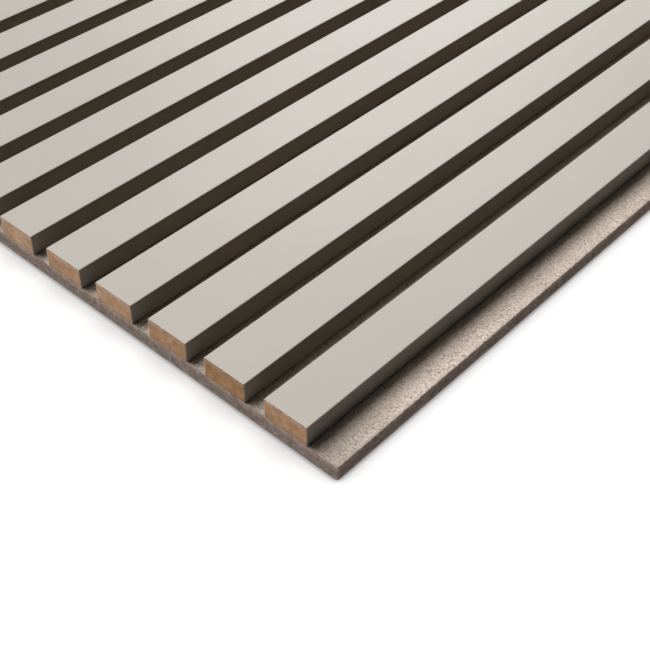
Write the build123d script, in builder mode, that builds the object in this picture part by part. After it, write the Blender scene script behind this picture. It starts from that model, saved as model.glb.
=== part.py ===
from build123d import *
import os

# A slatted acoustic wall panel, lying flat with its felt down and its slats along Y.
# Each slat is a strip of MDF with a decor foil wrapped over its top and both sides, so that
# the bare MDF shows on the sawn ends. The slats stand side by side on one felt backing, which
# runs past the last of them as a bare lap. The first slat is flush with the felt's other edge.
# The origin is the middle of the felt's back face. All sizes are in millimetres.

# Driving dimensions
panel_length = 2400.0  # along the slats
slat_count = 15
slat_width = 27.0  # over the foil
slat_gap = 13.0  # clear space between two slats
core_thickness = 12.0  # the MDF board that the strips are ripped from
core_edge_radius = 0.2  # the strip's two eased top edges
foil_thickness = 0.4
felt_thickness = 9.0
felt_lap = 19.0  # bare felt beyond the last slat

# Sizes that follow from them
slat_pitch = slat_width + slat_gap
slat_height = core_thickness + foil_thickness
slat_edge_radius = core_edge_radius + foil_thickness
core_width = slat_width - 2 * foil_thickness
felt_width = slat_count * slat_pitch - slat_gap + felt_lap
first_slat_x = (slat_width - felt_width) / 2

on_the_felt = (Align.CENTER, Align.MIN)  # a section stands centred on its slat's plane, on the felt

os.makedirs("parts", exist_ok=True)

# The felt backing, one flat mat under all the slats
with BuildPart() as felt_backing:
    with BuildSketch():
        Rectangle(felt_width, panel_length)
    extrude(amount=felt_thickness)
felt_backing.part.label = "felt_backing"
export_step(felt_backing.part, "parts/felt_backing.step")

# The slats, from the flush edge to the lap, each an MDF strip and the foil round it
for number in range(1, slat_count + 1):
    slat_x = first_slat_x + (number - 1) * slat_pitch
    slat_plane = Plane(origin=(slat_x, 0, felt_thickness), x_dir=(1, 0, 0), z_dir=(0, -1, 0))

    with BuildPart() as core:
        with BuildSketch(slat_plane) as core_section:
            Rectangle(core_width, core_thickness, align=on_the_felt)
            fillet(core_section.vertices().group_by(Axis.Y)[-1], core_edge_radius)
        extrude(amount=panel_length / 2, both=True)
    core.part.label = f"slat_{number:02d}_core"
    export_step(core.part, f"parts/{core.part.label}.step")

    with BuildPart() as foil:
        with BuildSketch(slat_plane) as foil_section:
            Rectangle(slat_width, slat_height, align=on_the_felt)
            fillet(foil_section.vertices().group_by(Axis.Y)[-1], slat_edge_radius)
            add(core_section.sketch_local, mode=Mode.SUBTRACT)
        extrude(amount=panel_length / 2, both=True)
    foil.part.label = f"slat_{number:02d}_foil"
    export_step(foil.part, f"parts/{foil.part.label}.step")
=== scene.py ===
import math

import bpy
import numpy as np
from mathutils import Matrix, Vector


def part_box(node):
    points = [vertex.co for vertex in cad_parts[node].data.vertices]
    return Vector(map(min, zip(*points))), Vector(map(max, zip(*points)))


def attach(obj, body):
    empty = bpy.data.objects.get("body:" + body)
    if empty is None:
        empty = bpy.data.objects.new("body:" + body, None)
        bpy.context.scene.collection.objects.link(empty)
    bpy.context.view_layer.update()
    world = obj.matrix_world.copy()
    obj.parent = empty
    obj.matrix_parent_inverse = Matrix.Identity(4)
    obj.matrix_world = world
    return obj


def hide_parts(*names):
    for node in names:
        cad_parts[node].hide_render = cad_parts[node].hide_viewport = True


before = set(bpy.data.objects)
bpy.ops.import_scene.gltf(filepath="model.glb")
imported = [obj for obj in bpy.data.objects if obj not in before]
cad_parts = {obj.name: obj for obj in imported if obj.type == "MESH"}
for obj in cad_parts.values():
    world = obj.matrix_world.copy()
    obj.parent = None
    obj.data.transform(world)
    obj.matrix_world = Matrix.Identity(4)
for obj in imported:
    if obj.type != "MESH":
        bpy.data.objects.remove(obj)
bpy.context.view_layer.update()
feltLow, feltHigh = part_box("felt_backing")
slatNames = sorted(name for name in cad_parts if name.endswith("_foil"))
slatBoxes = [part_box(name) for name in slatNames]
slatPitch = slatBoxes[1][0].x - slatBoxes[0][0].x
slatWidth = slatBoxes[0][1].x - slatBoxes[0][0].x
slatGap = slatPitch - slatWidth
lapStart = slatBoxes[-1][1].x
print("frame loaded:", len(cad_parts), "nodes,", len(slatNames), "slats")


# small helpers

near = 1e-5     # metres: places closer than this are taken as one


def clearSelection():
    if bpy.context.object and bpy.context.object.mode != "OBJECT":
        bpy.ops.object.mode_set(mode="OBJECT")
    bpy.ops.object.select_all(action="DESELECT")


def makeActive(piece):
    clearSelection()
    piece.select_set(True)
    bpy.context.view_layer.objects.active = piece


def pointsOf(piece):
    flat = np.empty(len(piece.data.vertices) * 3, np.float32)
    piece.data.vertices.foreach_get("co", flat)
    return flat.reshape(-1, 3)


def setPoints(piece, points):
    piece.data.vertices.foreach_set("co", points.astype(np.float32).ravel())
    piece.data.update()


def faceFacts(piece):
    count = len(piece.data.polygons)
    centres = np.empty(count * 3, np.float32)
    normals = np.empty(count * 3, np.float32)
    piece.data.polygons.foreach_get("center", centres)
    piece.data.polygons.foreach_get("normal", normals)
    return centres.reshape(-1, 3), normals.reshape(-1, 3)


def applyAll(piece):
    makeActive(piece)
    for modifier in list(piece.modifiers):
        bpy.ops.object.modifier_apply(modifier=modifier.name)


def startMaterial(name):
    material = bpy.data.materials.new(name)
    material.use_nodes = True
    tree = material.node_tree
    return material, tree, tree.nodes["Principled BSDF"]


def addNode(tree, kind, inputs=None, **settings):
    node = tree.nodes.new(kind)
    for key, value in settings.items():
        setattr(node, key, value)
    for key, value in (inputs or {}).items():
        if isinstance(value, bpy.types.NodeSocket):
            tree.links.new(value, node.inputs[key])
        else:
            node.inputs[key].default_value = value
    return node


def objectPlace(tree, stretch=(1, 1, 1)):
    place = addNode(tree, "ShaderNodeTexCoord").outputs["Object"]
    return addNode(tree, "ShaderNodeMapping", {"Vector": place, "Scale": stretch}).outputs["Vector"]


def noiseOn(tree, vector, scale, detail, roughness=0.5):
    node = addNode(tree, "ShaderNodeTexNoise",
                   {"Vector": vector, "Scale": scale, "Detail": detail, "Roughness": roughness})
    return node.outputs["Fac"]


def rampOf(tree, value, places, colours):
    node = addNode(tree, "ShaderNodeValToRGB", {"Fac": value})
    ramp = node.color_ramp
    while len(ramp.elements) < len(places):
        ramp.elements.new(0.5)
    for element, place, colour in zip(ramp.elements, places, colours):
        element.position = place
        element.color = (*colour, 1)
    return node.outputs["Color"]


def mixColours(tree, amount, first, second):
    node = addNode(tree, "ShaderNodeMix", data_type="RGBA")
    for index, value in ((0, amount), (6, first), (7, second)):
        if isinstance(value, bpy.types.NodeSocket):
            tree.links.new(value, node.inputs[index])
        else:
            node.inputs[index].default_value = value if index == 0 else (*value, 1)
    return node.outputs[2]


def rangeOf(tree, value, low, high, toLow, toHigh):
    node = addNode(tree, "ShaderNodeMapRange", {"Value": value, "From Min": low, "From Max": high,
                                                "To Min": toLow, "To Max": toHigh})
    return node.outputs["Result"]


def doMath(tree, operation, first, second=0.0):
    return addNode(tree, "ShaderNodeMath", {0: first, 1: second}, operation=operation).outputs["Value"]


def brighten(tree, colour, amount, saturation=1.0):
    node = addNode(tree, "ShaderNodeHueSaturation",
                   {"Value": amount, "Saturation": saturation, "Color": colour})
    return node.outputs["Color"]


def bumpFrom(tree, height, strength, distance):
    node = addNode(tree, "ShaderNodeBump", {"Height": height, "Strength": strength, "Distance": distance})
    return node.outputs["Normal"]


def partOf(tree, vector, axis):
    return addNode(tree, "ShaderNodeSeparateXYZ", {0: vector}).outputs[axis]


def dotsOn(tree, vector, scale, share, rim, depth):
    cells = addNode(tree, "ShaderNodeTexVoronoi", {"Vector": vector, "Scale": scale})
    chosen = doMath(tree, "LESS_THAN", partOf(tree, cells.outputs["Color"], "X"), share)
    dots = rangeOf(tree, cells.outputs["Distance"], *rim, depth, 0.0)
    return doMath(tree, "MULTIPLY", dots, chosen)


def fromFirstSlat(tree, place):
    return doMath(tree, "SUBTRACT", partOf(tree, place, "X"), slatBoxes[0][0].x)


def acrossPitch(tree, place):
    return doMath(tree, "MODULO", fromFirstSlat(tree, place), slatPitch)


def fromFeltEnd(tree, place):
    return doMath(tree, "SUBTRACT", feltHigh.y, doMath(tree, "ABSOLUTE", partOf(tree, place, "Y")))


def slatChance(tree, place, seed):
    number = doMath(tree, "FLOOR", doMath(tree, "DIVIDE", fromFirstSlat(tree, place), slatPitch))
    seeded = doMath(tree, "ADD", number, seed)
    return addNode(tree, "ShaderNodeTexWhiteNoise", {"W": seeded}, noise_dimensions="1D").outputs["Value"]


# decor foil on the slats; a noise is given by its scale per metre, its detail and at times its roughness

foil = {
    "light": (0.476, 0.445, 0.4165),
    "dark": (0.458, 0.4285, 0.400),
    "patchNoise": (7.0, 3.0),
    "patchRange": (0.35, 0.65),
    "slatSeed": 20.0,
    "slatTone": 0.012,              # how far one slat's tone may stand from the next
    "sawnFacing": 0.9,              # a sawn face's normal lies along the slat by more than this
    "cutPale": (0.80, 0.70, 0.58),
    "cutDark": (0.42, 0.31, 0.21),
    "cutNoise": (420.0, 2.0),       # flecks along the sawn edge
    "cutRange": (0.38, 0.62),
    "cutLitLean": 0.14,                # painted highlight: paler on the left of a slat, where the light falls, than on the right
    "grainNoise": (2600.0, 2.0),
    "grainRange": (0.3, 0.7),
    "grainBump": (0.05, 0.0001),    # strength and depth
    "roughness": (0.36, 0.43),
    "ior": 1.40,
}


def makeFoilMaterial():
    material, tree, shader = startMaterial("greige_foil")
    place = objectPlace(tree)
    patches = noiseOn(tree, place, *foil["patchNoise"])
    tone = rampOf(tree, patches, foil["patchRange"], (foil["dark"], foil["light"]))
    chance = slatChance(tree, place, foil["slatSeed"])
    slat = rangeOf(tree, chance, 0, 1, 1 - foil["slatTone"], 1 + foil["slatTone"])
    toned = brighten(tree, tone, slat)
    facing = addNode(tree, "ShaderNodeNewGeometry").outputs["True Normal"]
    alongSlat = doMath(tree, "ABSOLUTE", partOf(tree, facing, "Y"))
    sawn = doMath(tree, "GREATER_THAN", alongSlat, foil["sawnFacing"])
    # painted highlight on the sawn edge's lit left side
    litLean = rangeOf(tree, acrossPitch(tree, place), 0.0, slatWidth, foil["cutLitLean"], -foil["cutLitLean"])
    flecks = doMath(tree, "ADD", noiseOn(tree, place, *foil["cutNoise"]), litLean)
    cutEdge = rampOf(tree, flecks, foil["cutRange"], (foil["cutDark"], foil["cutPale"]))
    tree.links.new(mixColours(tree, sawn, toned, cutEdge), shader.inputs["Base Color"])
    grain = noiseOn(tree, place, *foil["grainNoise"])
    rough = rangeOf(tree, grain, *foil["grainRange"], *foil["roughness"])
    tree.links.new(rough, shader.inputs["Roughness"])
    tree.links.new(bumpFrom(tree, grain, *foil["grainBump"]), shader.inputs["Normal"])
    shader.inputs["IOR"].default_value = foil["ior"]
    return material


# bare MDF on the sawn ends

mdf = {
    "pale": (0.80, 0.58, 0.415),
    "middle": (0.665, 0.40, 0.228),
    "russet": (0.535, 0.29, 0.158),
    # dark MDF specks, and the painted shade in the torn pits
    "speckAndPitShade": (0.26, 0.13, 0.065),
    "mottleNoise": (220.0, 4.0, 0.6),
    "mottleStops": (0.34, 0.50, 0.66),
    "fibreNoise": (1300.0, 3.0, 0.65),
    "fibreStops": (0.34, 0.45, 0.68),
    "fibreShare": 0.36,
    "pits": (300.0, 0.45, (0.08, 0.2), 0.75),   # torn pits, painted with shade: scale, share of the cells, rim and depth
    "chip": (0.86, 0.70, 0.58),
    "chipReach": 0.0026,        # pale torn fibre below the head of the strip
    "chipShare": 0.75,
    "chipNoise": (520.0, 2.0),
    "chipRange": (0.40, 0.62),
    "chipTone": (0.15, 1.0),
    "slatSeed": 6624.0,
    "slatTone": (0.72, 1.10),   # darkest and palest strip
    "slatDepth": (1.16, 0.90),  # and how deep their colour is
    "footTone": 0.86,           # darker towards the foot of the strip
    "footReach": 0.004,
    "patchNoise": (120.0, 1.0),
    "patchRange": (0.35, 0.65),
    "patchTone": (0.93, 1.08),
    "glue": (0.20, 0.10, 0.055),
    "glueWidth": 0.00035,       # broken dark line between strip and foil
    "glueNoise": (650.0, 1.0),
    "glueRange": (0.45, 0.60),
    "glueShare": 0.9,
    "sawNoise": (520.0, 2.0),
    "sawStretch": (1, 1, 0.12),
    "sawBump": (0.35, 0.0004),
    "roughness": 0.85,
    "specular": 0.25,
}


def makeMdfMaterial():
    material, tree, shader = startMaterial("sawn_mdf")
    place = objectPlace(tree)
    mottle = noiseOn(tree, place, *mdf["mottleNoise"])
    base = rampOf(tree, mottle, mdf["mottleStops"], (mdf["russet"], mdf["middle"], mdf["pale"]))
    fibre = noiseOn(tree, place, *mdf["fibreNoise"])
    specks = rampOf(tree, fibre, mdf["fibreStops"], (mdf["speckAndPitShade"], mdf["middle"], mdf["pale"]))
    mixed = mixColours(tree, mdf["fibreShare"], base, specks)
    # painted shade in the torn pits, which the bump also sinks
    pits = dotsOn(tree, place, *mdf["pits"])
    pitted = mixColours(tree, pits, mixed, mdf["speckAndPitShade"])
    low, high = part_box(slatNames[0].replace("_foil", "_core"))
    height = partOf(tree, place, "Z")
    head = rangeOf(tree, height, high.z - mdf["chipReach"], high.z, 0.0, mdf["chipShare"])
    chips = noiseOn(tree, place, *mdf["chipNoise"])
    torn = rangeOf(tree, chips, *mdf["chipRange"], *mdf["chipTone"])
    chipped = mixColours(tree, doMath(tree, "MULTIPLY", head, torn), pitted, mdf["chip"])
    chance = slatChance(tree, place, mdf["slatSeed"])
    slat = rangeOf(tree, chance, 0, 1, *mdf["slatTone"])
    depth = rangeOf(tree, chance, 0, 1, *mdf["slatDepth"])
    foot = rangeOf(tree, height, feltHigh.z, feltHigh.z + mdf["footReach"], mdf["footTone"], 1.0)
    patchNoise = noiseOn(tree, place, *mdf["patchNoise"])
    patches = rangeOf(tree, patchNoise, *mdf["patchRange"], *mdf["patchTone"])
    tone = doMath(tree, "MULTIPLY", doMath(tree, "MULTIPLY", slat, foot), patches)
    toned = brighten(tree, chipped, tone, depth)
    offMiddle = doMath(tree, "SUBTRACT", acrossPitch(tree, place), slatWidth / 2)
    fromMiddle = doMath(tree, "ABSOLUTE", offMiddle)
    atSide = doMath(tree, "GREATER_THAN", fromMiddle, (high.x - low.x) / 2 - mdf["glueWidth"])
    atTop = doMath(tree, "GREATER_THAN", height, high.z - mdf["glueWidth"])
    crumbs = noiseOn(tree, place, *mdf["glueNoise"])
    broken = rangeOf(tree, crumbs, *mdf["glueRange"], 0.0, mdf["glueShare"])
    glued = doMath(tree, "MULTIPLY", doMath(tree, "MAXIMUM", atSide, atTop), broken)
    tree.links.new(mixColours(tree, glued, toned, mdf["glue"]), shader.inputs["Base Color"])
    sawn = noiseOn(tree, objectPlace(tree, mdf["sawStretch"]), *mdf["sawNoise"])
    relief = doMath(tree, "SUBTRACT", doMath(tree, "ADD", fibre, sawn), pits)
    tree.links.new(bumpFrom(tree, relief, *mdf["sawBump"]), shader.inputs["Normal"])
    shader.inputs["Roughness"].default_value = mdf["roughness"]
    shader.inputs["Specular IOR Level"].default_value = mdf["specular"]
    return material


# needled felt: its face, its cut edge and its loose fibres

felt = {
    "cream": (0.89, 0.79, 0.725),
    "greige": (0.78, 0.675, 0.605),
    "brown": (0.46, 0.375, 0.315),
    # the colour of the painted shade in the felt's pores
    "poreShade": (0.15, 0.115, 0.09),
    "streakStretch": (0.40, 1.0, 1.0),      # fibres lie mostly across the slats
    "streakNoise": (1350.0, 4.0, 0.62),
    "streakStops": (0.36, 0.47, 0.60),
    "poreScale": 900.0,
    "poreNoise": (900.0, 2.0),
    "poreWobble": 0.6,
    "poreRange": (0.36, 0.52),
    # how far the pores are painted towards that shade
    "poreShadeDepth": 0.65,
    "poreRelief": 0.6,
    "specks": (360.0, 0.5, (0.05, 0.17), 0.8),      # dark: scale, share of the cells, rim and depth
    "speckStretch": (0.7, 1.0, 1.0),
    "patchNoise": (45.0, 2.0),
    "patchRange": (0.3, 0.7),
    "patchTone": (0.92, 1.07),
    "faceBump": (0.5, 0.0006),
    "footShadeReach": 0.0024,          # painted shade: the felt's face is darker along each slat's foot
    "footShadeTone": 0.60,
    "endReach": (0.018, 0.045),     # and painted shade a little by the sawn ends
    "endShadeTone": 0.82,
    "lapEndReach": (0.010, 0.022),  # more painted shade by the ends of the open lap
    "lapEndShadeTone": 0.89,
    "edgeLight": (0.495, 0.416, 0.382),
    "edgeDark": (0.245, 0.198, 0.174),
    "edgeStretch": (0.5, 0.5, 1.0),
    "edgeNoise": (800.0, 4.0, 0.6),
    "edgeRange": (0.32, 0.68),
    "edgePatchNoise": (170.0, 2.0),
    "edgePatchTone": (0.8, 1.2),
    "edgeBump": (0.6, 0.0008),
    "lipStart": 0.005,
    "lipTone": 1.55,                # the cut edge is paler towards the face
    "cornerTone": 1.6,              # and at its frayed corners
    "cornerReach": (0.0005, 0.0020),
    "roughness": 0.95,
    "specular": 0.1,
    "sheen": 0.08,
    "fibreStops": (0.0, 0.25, 0.55, 1.0),
    "fibreBright": (0.95, 0.86, 0.79),
    "fibreTip": 0.8,                # a fibre is duller towards its sunk tips
    "fibreRoughness": 0.8,
    "fibreSpecular": 0.2,
}


# painted shade: the felt's face darker along each slat's foot and by the sawn ends
def paintedShadeTone(tree, place):
    onFelt = doMath(tree, "MINIMUM", fromFirstSlat(tree, place), lapStart - feltLow.x + slatGap / 2)
    inPitch = doMath(tree, "MODULO", onFelt, slatPitch)
    fromMiddle = doMath(tree, "ABSOLUTE", doMath(tree, "SUBTRACT", inPitch, slatWidth + slatGap / 2))
    fromFoot = doMath(tree, "SUBTRACT", slatGap / 2, fromMiddle)
    footShade = rangeOf(tree, fromFoot, 0.0, felt["footShadeReach"], felt["footShadeTone"], 1.0)
    fromEnd = fromFeltEnd(tree, place)
    byEnd = rangeOf(tree, fromEnd, *felt["endReach"], felt["endShadeTone"], 1.0)
    onLap = doMath(tree, "GREATER_THAN", partOf(tree, place, "X"), lapStart)
    lapTone = rangeOf(tree, onLap, 0.0, 1.0, 1.0, felt["lapEndShadeTone"])
    byLapEnd = rangeOf(tree, fromEnd, *felt["lapEndReach"], lapTone, 1.0)
    tone = doMath(tree, "MULTIPLY", doMath(tree, "MULTIPLY", footShade, byEnd), byLapEnd)
    onFace = doMath(tree, "GREATER_THAN", partOf(tree, place, "Z"), (feltLow.z + feltHigh.z) / 2)
    return rangeOf(tree, onFace, 0.0, 1.0, 1.0, tone)      # never on the back


def paintedShadeShare(points):      # the same painted shade for points, as the fibres' tone
    onFelt = np.minimum(points[:, 0] - feltLow.x, lapStart - feltLow.x + slatGap / 2)
    fromFoot = slatGap / 2 - np.abs(np.mod(onFelt, slatPitch) - slatWidth - slatGap / 2)
    footShade = np.interp(fromFoot, (0.0, felt["footShadeReach"]), (felt["footShadeTone"], 1.0))
    fromEnd = feltHigh.y - np.abs(points[:, 1])
    byEnd = np.interp(fromEnd, felt["endReach"], (felt["endShadeTone"], 1.0))
    byLapEnd = np.interp(fromEnd, felt["lapEndReach"], (felt["lapEndShadeTone"], 1.0))
    return footShade * byEnd * np.where(points[:, 0] > lapStart, byLapEnd, 1.0)


def makeFeltMaterial():
    material, tree, shader = startMaterial("needled_felt")
    place = objectPlace(tree, felt["streakStretch"])
    streaks = noiseOn(tree, place, *felt["streakNoise"])
    fibres = rampOf(tree, streaks, felt["streakStops"], (felt["brown"], felt["greige"], felt["cream"]))
    cells = addNode(tree, "ShaderNodeTexVoronoi", {"Vector": place, "Scale": felt["poreScale"]})
    wobble = doMath(tree, "MULTIPLY", noiseOn(tree, place, *felt["poreNoise"]), felt["poreWobble"])
    ragged = doMath(tree, "ADD", cells.outputs["Distance"], wobble)
    deep = rangeOf(tree, ragged, *felt["poreRange"], 1.0, 0.0)
    specks = dotsOn(tree, objectPlace(tree, felt["speckStretch"]), *felt["specks"])
    # the pores are painted dark: painted shade in the felt's hollows
    dark = doMath(tree, "MAXIMUM", doMath(tree, "MULTIPLY", deep, felt["poreShadeDepth"]), specks)
    pored = mixColours(tree, dark, fibres, felt["poreShade"])
    plain = objectPlace(tree)
    patchNoise = noiseOn(tree, plain, *felt["patchNoise"])
    patches = rangeOf(tree, patchNoise, *felt["patchRange"], *felt["patchTone"])
    # the patches times the painted shade along the slats' feet and by the ends
    toned = brighten(tree, pored, doMath(tree, "MULTIPLY", patches, paintedShadeTone(tree, plain)))
    tree.links.new(toned, shader.inputs["Base Color"])
    relief = doMath(tree, "SUBTRACT", streaks, doMath(tree, "MULTIPLY", deep, felt["poreRelief"]))
    tree.links.new(bumpFrom(tree, relief, *felt["faceBump"]), shader.inputs["Normal"])
    shader.inputs["Roughness"].default_value = felt["roughness"]
    shader.inputs["Specular IOR Level"].default_value = felt["specular"]
    shader.inputs["Sheen Weight"].default_value = felt["sheen"]
    return material


def makeFeltEdgeMaterial():
    material, tree, shader = startMaterial("felt_cut_edge")
    fibres = noiseOn(tree, objectPlace(tree, felt["edgeStretch"]), *felt["edgeNoise"])
    colour = rampOf(tree, fibres, felt["edgeRange"], (felt["edgeDark"], felt["edgeLight"]))
    place = objectPlace(tree)
    lipStart = feltLow.z + felt["lipStart"]
    lip = rangeOf(tree, partOf(tree, place, "Z"), lipStart, feltHigh.z, 1.0, felt["lipTone"])
    fromSide = doMath(tree, "SUBTRACT", feltHigh.x, doMath(tree, "ABSOLUTE", partOf(tree, place, "X")))
    fromCorner = doMath(tree, "MAXIMUM", fromSide, fromFeltEnd(tree, place))
    corner = rangeOf(tree, fromCorner, *felt["cornerReach"], felt["cornerTone"], 1.0)
    patchNoise = noiseOn(tree, place, *felt["edgePatchNoise"])
    patches = rangeOf(tree, patchNoise, *felt["patchRange"], *felt["edgePatchTone"])
    tone = doMath(tree, "MULTIPLY", doMath(tree, "MULTIPLY", lip, corner), patches)
    tree.links.new(brighten(tree, colour, tone), shader.inputs["Base Color"])
    tree.links.new(bumpFrom(tree, fibres, *felt["edgeBump"]), shader.inputs["Normal"])
    shader.inputs["Roughness"].default_value = felt["roughness"]
    shader.inputs["Specular IOR Level"].default_value = felt["specular"]
    return material


def makeFibreMaterial(name, colours):
    material, tree, shader = startMaterial(name)
    along = addNode(tree, "ShaderNodeUVMap", uv_map="OFBake").outputs["UV"]
    colour = rampOf(tree, partOf(tree, along, "X"), felt["fibreStops"], colours)
    fromMiddle = doMath(tree, "ABSOLUTE", doMath(tree, "SUBTRACT", partOf(tree, along, "Y"), 0.5))
    tipTone = rangeOf(tree, fromMiddle, 0.0, 0.5, 1.0, felt["fibreTip"])
    tree.links.new(brighten(tree, colour, tipTone), shader.inputs["Base Color"])
    shader.inputs["Roughness"].default_value = felt["fibreRoughness"]
    shader.inputs["Specular IOR Level"].default_value = felt["fibreSpecular"]
    return material


foilMaterial = makeFoilMaterial()
mdfMaterial = makeMdfMaterial()
feltMaterial = makeFeltMaterial()
feltEdgeMaterial = makeFeltEdgeMaterial()
faceFibreColours = (felt["brown"], felt["greige"], felt["cream"], felt["fibreBright"])
edgeFibreColours = (felt["edgeDark"], felt["edgeLight"], felt["brown"], felt["greige"])
fibreMaterial = makeFibreMaterial("felt_fibre", faceFibreColours)
edgeFibreMaterial = makeFibreMaterial("felt_edge_fibre", edgeFibreColours)
for name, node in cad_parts.items():
    for ending, material in (("_foil", foilMaterial), ("_core", mdfMaterial)):
        if name.endswith(ending):
            node.data.materials.clear()
            node.data.materials.append(material)
print("foil and MDF finished on", len(slatNames), "slats")


# the felt mat, soft where it shows

feltMat = {
    "footInset": 0.0012,     # the felt draws down along each slat's foot
    "footDepth": 0.0005,
    "gapCells": 3,           # cells across each gap, between its two feet
    "lapCells": 9,           # cells across the bare lap
    "rowLength": 0.004,      # length of a cell along the slats
    "edgeCells": 4,          # cells up the cut edge
    "edgeRound": 0.0005,
    "edgeSteps": 2,
    "cornerRound": 0.0015,
    "cornerSteps": 3,
    "flatMargin": 0.001,     # how far the flat back and the undrawn ends reach
    "lumpSize": 0.006,
    "lumpHeight": 0.0004,
    "lumpMiddle": 0.7,
    "lumpDetail": 2,
    "levelFacing": 0.5,      # a level face's normal is upright by more than this
    "backFacing": -0.99,     # and that of the back points down by more than this
    "smoothAngle": 50.0,
}


def columnPlaces():
    inset = feltMat["footInset"]
    places = []
    for number, (low, high) in enumerate(slatBoxes):
        places += [low.x, low.x + inset, high.x - inset, high.x]
        if number + 1 < len(slatBoxes):
            nextFoot = slatBoxes[number + 1][0].x
            places += list(np.linspace(high.x + inset, nextFoot - inset, feltMat["gapCells"] + 1))
    places += list(np.linspace(lapStart + inset, feltHigh.x, feltMat["lapCells"] + 1))
    return np.array(places)


def makeFeltMat():
    clearSelection()
    columns = columnPlaces()
    size = feltHigh - feltLow
    rows = round(size.y / feltMat["rowLength"])
    middle = (feltLow + feltHigh) / 2
    bpy.ops.mesh.primitive_grid_add(x_subdivisions=len(columns) - 1, y_subdivisions=rows, size=1)
    mat = bpy.context.object
    mat.name = "felt_mat"
    points = pointsOf(mat)
    steps = np.rint((points[:, 0] + 0.5) * (len(columns) - 1)).astype(int)
    points[:, 0] = columns[steps]     # close together in the gaps, far apart under the slats
    points[:, 1] = points[:, 1] * size.y + middle.y
    points[:, 2] = feltHigh.z
    setPoints(mat, points)
    makeActive(mat)
    bpy.ops.object.mode_set(mode="EDIT")
    bpy.ops.mesh.select_mode(type="EDGE")
    bpy.ops.mesh.select_all(action="DESELECT")
    bpy.ops.mesh.select_non_manifold()
    for step in range(feltMat["edgeCells"]):
        bpy.ops.mesh.extrude_region_move(
            TRANSFORM_OT_translate={"value": (0, 0, -size.z / feltMat["edgeCells"])})
    bpy.ops.mesh.edge_face_add()
    bpy.ops.mesh.select_all(action="SELECT")
    bpy.ops.mesh.normals_make_consistent(inside=False)
    bpy.ops.object.mode_set(mode="OBJECT")
    return mat


def bevelEdges(mat, chosen, offset, segments):
    clearSelection()
    mat.data.vertices.foreach_set("select", np.zeros(len(mat.data.vertices), bool))
    mat.data.polygons.foreach_set("select", np.zeros(len(mat.data.polygons), bool))
    mat.data.edges.foreach_set("select", chosen)
    makeActive(mat)
    bpy.ops.object.mode_set(mode="EDIT")
    bpy.ops.mesh.bevel(offset=offset, segments=segments, profile=0.5, affect="EDGES")
    bpy.ops.object.mode_set(mode="OBJECT")


def edgeEnds(mat):
    pairs = np.empty(len(mat.data.edges) * 2, np.int32)
    mat.data.edges.foreach_get("vertices", pairs)
    return pairs.reshape(-1, 2).T


def roundOutline(mat):
    points = pointsOf(mat)
    atSide = (points[:, 0] < feltLow.x + near) | (points[:, 0] > feltHigh.x - near)
    atEnd = (points[:, 1] < feltLow.y + near) | (points[:, 1] > feltHigh.y - near)
    corner = atSide & atEnd
    first, second = edgeEnds(mat)
    bevelEdges(mat, corner[first] & corner[second], feltMat["cornerRound"], feltMat["cornerSteps"])
    levelFaces = np.zeros(len(mat.data.edges), int)      # how many of each kind meet at an edge
    uprightFaces = np.zeros(len(mat.data.edges), int)
    loopEdges = np.empty(len(mat.data.loops), np.int32)
    mat.data.loops.foreach_get("edge_index", loopEdges)
    sizes = np.empty(len(mat.data.polygons), np.int32)
    mat.data.polygons.foreach_get("loop_total", sizes)
    centres, normals = faceFacts(mat)
    levelLoops = np.repeat(np.abs(normals[:, 2]) > feltMat["levelFacing"], sizes)
    np.add.at(levelFaces, loopEdges, levelLoops.astype(int))
    np.add.at(uprightFaces, loopEdges, (~levelLoops).astype(int))
    rim = (levelFaces == 1) & (uprightFaces == 1)
    bevelEdges(mat, rim, feltMat["edgeRound"], feltMat["edgeSteps"])


def settleFaces(mat):
    faces = []
    for face in mat.data.polygons:
        corners = list(face.vertices)
        first = corners.index(min(corners))
        faces.append(corners[first:] + corners[:first])
    points = pointsOf(mat)
    mat.data.clear_geometry()
    mat.data.from_pydata(points, [], sorted(faces))      # extrude numbers its faces anew in every run


def loosenFelt(mat):
    points = pointsOf(mat)
    isTop = points[:, 2] > feltHigh.z - near
    inside = np.abs(points[:, 1]) < feltHigh.y - feltMat["flatMargin"]
    loose = points[:, 2] > feltLow.z + feltMat["flatMargin"]     # the back stays flat
    for low, high in slatBoxes:
        under = (points[:, 0] > low.x - near) & (points[:, 0] < high.x + near) & isTop
        loose &= ~under      # and so does what the slats are glued to
        for foot in (low.x, high.x):
            drawn = (np.abs(points[:, 0] - foot) < near) & isTop & inside & (foot > feltLow.x + near)
            points[drawn, 2] -= feltMat["footDepth"]
    setPoints(mat, points)
    group = mat.vertex_groups.new(name="loose")
    group.add([int(index) for index in np.nonzero(loose)[0]], 1.0, "REPLACE")
    lumps = bpy.data.textures.new("felt_lumps", "CLOUDS")
    lumps.noise_scale = feltMat["lumpSize"]
    lumps.noise_depth = feltMat["lumpDetail"]
    displace = mat.modifiers.new("lumps", "DISPLACE")
    displace.texture = lumps
    displace.texture_coords = "LOCAL"
    displace.vertex_group = "loose"
    displace.strength = feltMat["lumpHeight"]
    displace.mid_level = feltMat["lumpMiddle"]
    applyAll(mat)
    mat.vertex_groups.clear()


def finishFelt(mat):
    mat.data.materials.append(feltMaterial)
    mat.data.materials.append(feltEdgeMaterial)
    for face in mat.data.polygons:
        face.material_index = 1 if abs(face.normal.z) < feltMat["levelFacing"] else 0
    makeActive(mat)
    bpy.ops.object.shade_smooth_by_angle(angle=math.radians(feltMat["smoothAngle"]))
    for face in mat.data.polygons:
        if face.normal.z < feltMat["backFacing"]:
            face.use_smooth = False      # the wide flat back
    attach(mat, "root")
    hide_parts("felt_backing")


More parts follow.
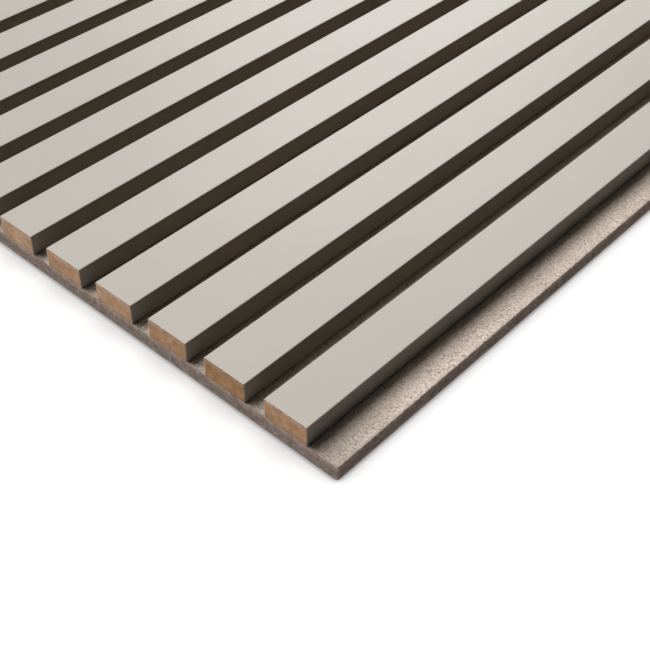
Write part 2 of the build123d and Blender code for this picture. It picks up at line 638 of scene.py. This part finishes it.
mat = makeFeltMat()
roundOutline(mat)
settleFaces(mat)
loosenFelt(mat)
finishFelt(mat)
print("felt mat:", len(mat.data.polygons), "faces")


# loose fibres that stand out of the felt, each a small arched strand with its tips in the mat

strand = {
    "sides": 3,
    "length": 0.0026,
    "thickness": 0.00015,
    "lift": 0.00015,
    "sunk": 0.00010,
    "scaleLow": (0.6, 0.7, 0.6),
    "scaleHigh": (1.5, 1.3, 1.5),
    "tilt": 0.25,            # radians, either way
    "toneSpan": 0.96,        # of the map's width, and what is left for going round it
    "roundSpan": 0.04,
}

# where the fibres stand: how many to a square metre, at the ends too, how they lie, and on which faces
fibreFields = {
    "felt_lap_fibres": {"density": 520e3, "endDensity": 520e3, "seed": 3,
                        "lie": ((0.3, -0.75, 0.0), (1.0, 0.75, 0.0)), "facing": 0.3, "fromFoot": 0.0002},
    "felt_gap_fibres": {"density": 50e3, "endDensity": 420e3, "seed": 5,
                        "lie": ((0.3, -0.75, 0.0), (1.0, 0.75, 0.0)), "facing": 0.3},
    "felt_edge_fibres": {"density": 300e3, "endDensity": 300e3, "seed": 8,
                         "lie": ((0.4, 0.4, -0.9), (1.0, 1.0, 0.9)), "facing": 0.5, "fromBack": 0.0024},
    "felt_rim_fibres": {"density": 1500e3, "endDensity": 1500e3, "seed": 13,
                        "lie": ((-1.0, -1.0, -0.4), (1.0, 1.0, 0.8)), "facing": (0.2, 0.97)},
}


def setColumn(piece, name, values):
    column = piece.data.attributes.new(name, "FLOAT", "POINT")
    column.data.foreach_set("value", values.astype(np.float32))


def makeStrand():
    clearSelection()
    half = strand["length"] / 2
    bpy.ops.mesh.primitive_cone_add(vertices=strand["sides"], radius1=strand["thickness"] / 2, depth=half,
                                    end_fill_type="NOTHING", location=(half / 2, 0, 0),
                                    rotation=(0, math.pi / 2, 0))
    piece = bpy.context.object
    piece.name = "felt_strand"
    bpy.ops.object.transform_apply(location=True, rotation=True, scale=True)
    mirror = piece.modifiers.new("other_half", "MIRROR")
    mirror.merge_threshold = near
    applyAll(piece)
    points = pointsOf(piece)
    tip = np.abs(points[:, 0]) > half / 2
    points[:, 2] += np.where(tip, -strand["sunk"], strand["lift"])
    setPoints(piece, points)
    bpy.ops.object.mode_set(mode="EDIT")
    bpy.ops.mesh.select_all(action="SELECT")
    bpy.ops.mesh.normals_make_consistent(inside=False)
    bpy.ops.object.mode_set(mode="OBJECT")
    bpy.ops.object.shade_smooth()
    setColumn(piece, "along", points[:, 0] / strand["length"] + 0.5)
    setColumn(piece, "around", np.where(tip, 0.5, np.argsort(np.argsort(points[:, 1])) / len(points)))
    return piece


def namedValue(tree, name):
    node = addNode(tree, "GeometryNodeInputNamedAttribute", {"Name": name}, data_type="FLOAT")
    return node.outputs["Attribute"]


def randomVector(tree, low, high, seed):
    node = addNode(tree, "FunctionNodeRandomValue",
                   {0: low, 1: high, "Seed": seed}, data_type="FLOAT_VECTOR")
    return node.outputs[0]


def makeScatter(piece, field):
    seed = field["seed"]
    tilt = strand["tilt"]
    tree = bpy.data.node_groups.new("fibre_scatter", "GeometryNodeTree")
    tree.interface.new_socket("Geometry", in_out="INPUT", socket_type="NodeSocketGeometry")
    tree.interface.new_socket("Geometry", in_out="OUTPUT", socket_type="NodeSocketGeometry")
    start = addNode(tree, "NodeGroupInput")
    spots = addNode(tree, "GeometryNodeDistributePointsOnFaces",
                    {"Mesh": start.outputs[0], "Density": namedValue(tree, "fibreDensity"), "Seed": seed})
    upright = addNode(tree, "FunctionNodeAlignRotationToVector",
                      {"Vector": spots.outputs["Normal"]}, axis="Z")
    lie = randomVector(tree, *field["lie"], seed + 1)
    laid = addNode(tree, "FunctionNodeAlignRotationToVector",
                   {"Rotation": upright.outputs[0], "Vector": lie}, axis="X", pivot_axis="Z")
    tilts = randomVector(tree, (0, -tilt, 0), (0, tilt, 0), seed + 2)
    tilted = addNode(tree, "FunctionNodeRotateRotation",
                     {"Rotation": laid.outputs[0], "Rotate By": tilts}, rotation_space="LOCAL")
    scales = randomVector(tree, strand["scaleLow"], strand["scaleHigh"], seed + 3)
    source = addNode(tree, "GeometryNodeObjectInfo", {"Object": piece})
    copies = addNode(tree, "GeometryNodeInstanceOnPoints",
                     {"Points": spots.outputs["Points"], "Instance": source.outputs["Geometry"],
                      "Rotation": tilted.outputs[0], "Scale": scales})
    chance = addNode(tree, "FunctionNodeRandomValue", {"Seed": seed + 4}, data_type="FLOAT")
    # a fibre's tone: random, times the painted shade along the slats' feet and by the ends
    tone = doMath(tree, "MULTIPLY", chance.outputs[1], namedValue(tree, "fibreTone"))
    toned = addNode(tree, "GeometryNodeStoreNamedAttribute",
                    {"Geometry": copies.outputs[0], "Name": "tone", "Value": tone},
                    data_type="FLOAT", domain="INSTANCE")
    real = addNode(tree, "GeometryNodeRealizeInstances", {"Geometry": toned.outputs[0]})
    byTone = doMath(tree, "MULTIPLY", namedValue(tree, "tone"), strand["toneSpan"])
    sideways = doMath(tree, "MULTIPLY", namedValue(tree, "around"), strand["roundSpan"])
    across = doMath(tree, "ADD", byTone, sideways)
    place = addNode(tree, "ShaderNodeCombineXYZ", {"X": across, "Y": namedValue(tree, "along")})
    mapped = addNode(tree, "GeometryNodeStoreNamedAttribute",
                     {"Geometry": real.outputs[0], "Name": "OFBake", "Value": place.outputs[0]},
                     data_type="FLOAT2", domain="CORNER")
    addNode(tree, "NodeGroupOutput", {0: mapped.outputs[0]})
    return tree


def dropFaces(piece, drop):
    makeActive(piece)
    bpy.ops.object.mode_set(mode="EDIT")
    bpy.ops.mesh.select_mode(type="FACE")
    bpy.ops.mesh.select_all(action="DESELECT")
    bpy.ops.object.mode_set(mode="OBJECT")
    piece.data.polygons.foreach_set("select", drop)
    bpy.ops.object.mode_set(mode="EDIT")
    bpy.ops.mesh.delete(type="FACE")
    bpy.ops.object.mode_set(mode="OBJECT")


def reachSlats(bed, piece):
    strands = pointsOf(bed).reshape(-1, len(piece.data.vertices), 3)
    between = (strands[:, :, None] + strands[:, None]) / 2      # its corners, and halfway between them
    inside = np.zeros(between.shape[:3], bool)
    for low, high in slatBoxes:
        inside |= np.all((between > np.array(low)) & (between < np.array(high)), axis=3)
    return np.repeat(np.any(inside, axis=(1, 2)), len(piece.data.polygons))


def growFibres(name, piece, keep, material):
    field = fibreFields[name]
    makeActive(mat)
    bpy.ops.object.duplicate()
    bed = bpy.context.object
    bed.name = name
    bed.data.name = name
    centres, normals = faceFacts(bed)
    dropFaces(bed, ~keep(centres, normals))
    points = pointsOf(bed)
    byEnd = np.abs(points[:, 1]) > feltHigh.y - felt["endReach"][1]
    setColumn(bed, "fibreDensity", np.where(byEnd, field["endDensity"], field["density"]))
    # painted shade along the slats' feet and by the ends, for the fibres' tone
    setColumn(bed, "fibreTone", paintedShadeShare(points))
    bed.modifiers.new("fibres", "NODES").node_group = makeScatter(piece, field)
    applyAll(bed)
    dropFaces(bed, reachSlats(bed, piece))
    for attribute in ("tone", "along", "around", "fibreTone", "fibreDensity"):
        if attribute in bed.data.attributes:
            bed.data.attributes.remove(bed.data.attributes[attribute])
    bed.data.materials.clear()
    bed.data.materials.append(material)
    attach(bed, "root")
    bed.data.calc_loop_triangles()
    print(name + ":", len(bed.data.loop_triangles), "triangles")


def onLap(centres, normals):
    field = fibreFields["felt_lap_fibres"]
    return (centres[:, 0] > lapStart + field["fromFoot"]) & (normals[:, 2] > field["facing"])


def betweenSlats(centres):
    between = np.zeros(len(centres), bool)
    for left, right in zip(slatBoxes, slatBoxes[1:]):
        between |= (centres[:, 0] > left[1].x) & (centres[:, 0] < right[0].x)
    return between


def inGaps(centres, normals):
    return betweenSlats(centres) & (normals[:, 2] > fibreFields["felt_gap_fibres"]["facing"])


def onCutEdge(centres, normals):
    field = fibreFields["felt_edge_fibres"]
    return (np.abs(normals[:, 2]) < field["facing"]) & (centres[:, 2] > feltLow.z + field["fromBack"])


def onRim(centres, normals):
    least, most = fibreFields["felt_rim_fibres"]["facing"]
    slanted = (normals[:, 2] > least) & (normals[:, 2] < most)
    reach = 2 * feltMat["edgeRound"]
    byEnd = np.abs(centres[:, 1]) > feltHigh.y - reach
    bySide = centres[:, 0] > feltHigh.x - reach
    return slanted & (bySide | byEnd & (betweenSlats(centres) | (centres[:, 0] > lapStart)))


piece = makeStrand()
growFibres("felt_lap_fibres", piece, onLap, fibreMaterial)
growFibres("felt_gap_fibres", piece, inGaps, fibreMaterial)
growFibres("felt_edge_fibres", piece, onCutEdge, edgeFibreMaterial)
growFibres("felt_rim_fibres", piece, onRim, fibreMaterial)
bpy.data.objects.remove(piece)


# studio: white floor, soft light from the left, and the photo's view

studio = {
    "floorSize": 14.0,
    "floorDrop": 0.0001,     # below the felt's back
    "floorBounce": 0.44,     # light that it gives back to the panel
    "bounceTint": (1.0, 0.90, 0.82),
    "touchReach": 0.0024,    # painted contact shadow: the dark line where the felt meets the floor
    "ambient": 0.008,
    "ambientTint": (1.0, 0.92, 0.82),
    "lampDistance": 2,
}

# each lamp: where it shines from, strength, spread in degrees, bounces, colour, and what it lights
lamps = {
    "key_light": {"from": (-0.70, 0.02, 1.0), "strength": 2.05, "spread": 39.0, "bounces": 0,
                  "colour": (0.952, 0.954, 1.0), "on": "panel"},
    "fill_light": {"from": (-0.70, 0.0, 1.0), "strength": 1.00, "spread": 50.0, "bounces": 8,
                   "colour": (1.0, 0.88, 0.60), "on": "panel"},
    "rim_light": {"from": (-0.522, 0.670, 0.528), "strength": 0.92, "spread": 25.0, "bounces": 0,
                  "colour": (1.0, 1.0, 1.0), "on": "panel"},
    "front_light": {"from": (-0.60, -1.0, 0.07), "strength": 0.94, "spread": 18.0, "bounces": 0,
                    "colour": (1.0, 1.0, 1.0), "on": "panel", "shine": False},
    "floor_light": {"from": (0.10, -0.12, 1.0), "strength": 3.4, "spread": 110.0, "bounces": 0,
                    "colour": (1.0, 1.0, 1.0), "on": "floor"},
}

photoView = {
    "fromCorner": (0.2188, -0.2583, 0.4171),    # from the felt's front right corner
    "azimuth": 41.43,
    "elevation": 43.36,
    "roll": 0.93,
    "lens": 64.88,
    "sensor": 36.0,
}


def seenDirectly(tree):
    path = addNode(tree, "ShaderNodeLightPath")
    seen = doMath(tree, "MAXIMUM", path.outputs["Is Camera Ray"], path.outputs["Is Glossy Ray"])
    return doMath(tree, "MAXIMUM", seen, path.outputs["Is Transmission Ray"])


def makeFloor():
    clearSelection()
    level = feltLow.z - studio["floorDrop"]
    bpy.ops.mesh.primitive_plane_add(size=studio["floorSize"], location=(0, 0, level))
    floor = bpy.context.object
    floor.name = "studio_floor"
    material = bpy.data.materials.new("white_floor")
    material.use_nodes = True
    tree = material.node_tree
    tree.nodes.clear()
    # painted contact shadow: an occlusion node darkens the floor's colour by the felt
    touch = addNode(tree, "ShaderNodeAmbientOcclusion",
                    {"Color": (1, 1, 1, 1), "Distance": studio["touchReach"]})
    seen = addNode(tree, "ShaderNodeBsdfDiffuse", {"Color": touch.outputs["Color"]})
    bounce = addNode(tree, "ShaderNodeEmission",
                     {"Color": (*studio["bounceTint"], 1), "Strength": studio["floorBounce"]})
    mixed = addNode(tree, "ShaderNodeMixShader",
                    {0: seenDirectly(tree), 1: bounce.outputs[0], 2: seen.outputs[0]})
    addNode(tree, "ShaderNodeOutputMaterial", {"Surface": mixed.outputs[0]})
    floor.data.materials.append(material)
    return floor


def makeWorld():
    world = bpy.data.worlds.new("studio")
    bpy.context.scene.world = world
    world.use_nodes = True
    tree = world.node_tree
    tree.nodes.clear()
    dim = addNode(tree, "ShaderNodeBackground",
                  {"Color": (*studio["ambientTint"], 1), "Strength": studio["ambient"]})
    white = addNode(tree, "ShaderNodeBackground", {"Color": (1, 1, 1, 1), "Strength": 1.0})
    mixed = addNode(tree, "ShaderNodeMixShader",
                    {0: seenDirectly(tree), 1: dim.outputs[0], 2: white.outputs[0]})
    addNode(tree, "ShaderNodeOutputWorld", {"Surface": mixed.outputs[0]})


def makeLamp(name, settings, floor):
    clearSelection()
    direction = Vector(settings["from"])
    bpy.ops.object.light_add(type="SUN", location=direction * studio["lampDistance"])
    lamp = bpy.context.object
    lamp.name = name
    lamp.rotation_euler = direction.to_track_quat("Z", "Y").to_euler()
    lamp.data.energy = settings["strength"]
    lamp.data.color = settings["colour"]
    lamp.data.angle = math.radians(settings["spread"])
    lamp.data.cycles.max_bounces = settings["bounces"]
    lamp.visible_glossy = settings.get("shine", True)     # the front light leaves no glare on the slats
    lit = bpy.data.collections.new(name + "_receivers")
    lit.objects.link(floor)
    linking = lit.collection_objects[0].light_linking
    linking.link_state = "INCLUDE" if settings["on"] == "floor" else "EXCLUDE"
    lamp.light_linking.receiver_collection = lit


def makeCamera():
    clearSelection()
    bpy.ops.object.camera_add()
    camera = bpy.context.object
    corner = Vector((feltHigh.x, feltLow.y, feltLow.z))
    move = Matrix.Translation(corner + Vector(photoView["fromCorner"]))
    turn = Matrix.Rotation(math.radians(photoView["azimuth"]), 4, "Z")
    tilt = Matrix.Rotation(math.radians(90 - photoView["elevation"]), 4, "X")
    roll = Matrix.Rotation(math.radians(photoView["roll"]), 4, "Z")
    camera.matrix_world = move @ turn @ tilt @ roll
    camera.data.lens = photoView["lens"]
    camera.data.sensor_width = photoView["sensor"]
    bpy.context.scene.camera = camera


floor = makeFloor()
makeWorld()
for name, settings in lamps.items():
    makeLamp(name, settings, floor)
makeCamera()
bpy.context.scene.view_settings.view_transform = "Standard"
print("studio ready")
